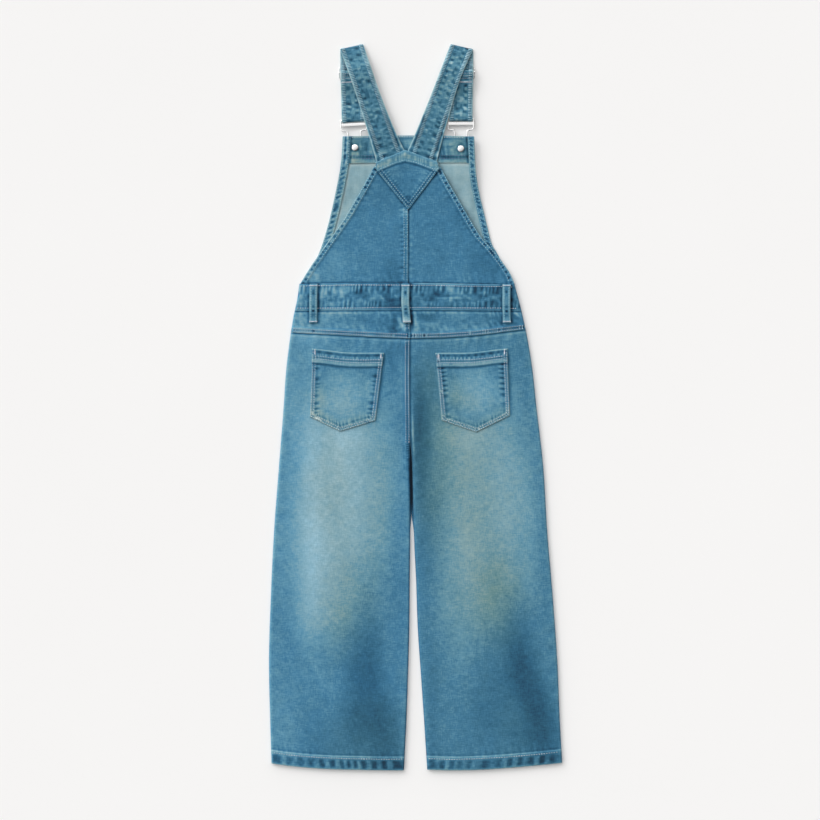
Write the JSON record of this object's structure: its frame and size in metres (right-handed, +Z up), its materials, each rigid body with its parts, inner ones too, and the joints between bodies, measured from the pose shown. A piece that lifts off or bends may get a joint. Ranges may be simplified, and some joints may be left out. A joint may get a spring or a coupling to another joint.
{
  "type": "kids dungarees",
  "caption": "Child's denim dungarees laid flat, back up: crossed straps under a V-shaped back piece, wire buckles, sliders, belt loops, patch pockets and wide straight legs.",
  "frame": {"origin": "middle of the footprint, on the floor the dungarees lie on", "axes": "+Z up, out of the back of the garment, which lies face down; +Y from the leg hems to the shoulder straps; +X to the right as seen from above"},
  "size_m": [0.4109, 1.0175, 0.0112],
  "materials": {
    "denim": "washed mid-blue cotton twill, faded along its seams and down the legs",
    "denim_wrong_side": "pale undyed side of the same twill",
    "metal": "bright nickel-coloured wire and caps"
  },
  "bodies": {
    "root": {"leg_back_left": "denim", "leg_back_right": "denim", "leg_front_left": "denim", "leg_front_right": "denim", "yoke_back_left": "denim", "yoke_back_right": "denim", "waistband_back": "denim", "waistband_front": "denim", "pocket_back_left": "denim", "pocket_back_right": "denim", "belt_loop_left": "denim", "belt_loop_centre": "denim", "belt_loop_right": "denim", "bib_front": "denim_wrong_side", "bib_facing": "denim", "bib_band_left": "denim", "bib_band_right": "denim", "bib_back_left": "denim", "bib_back_right": "denim", "bib_keystone": "denim", "strap_left": "denim", "strap_right": "denim", "slider_left": "metal", "slider_right": "metal", "buckle_left": "metal", "buckle_right": "metal", "button_left": "metal", "button_right": "metal", "button_back_left": "metal", "button_back_right": "metal"}
  },
  "joints": []
}
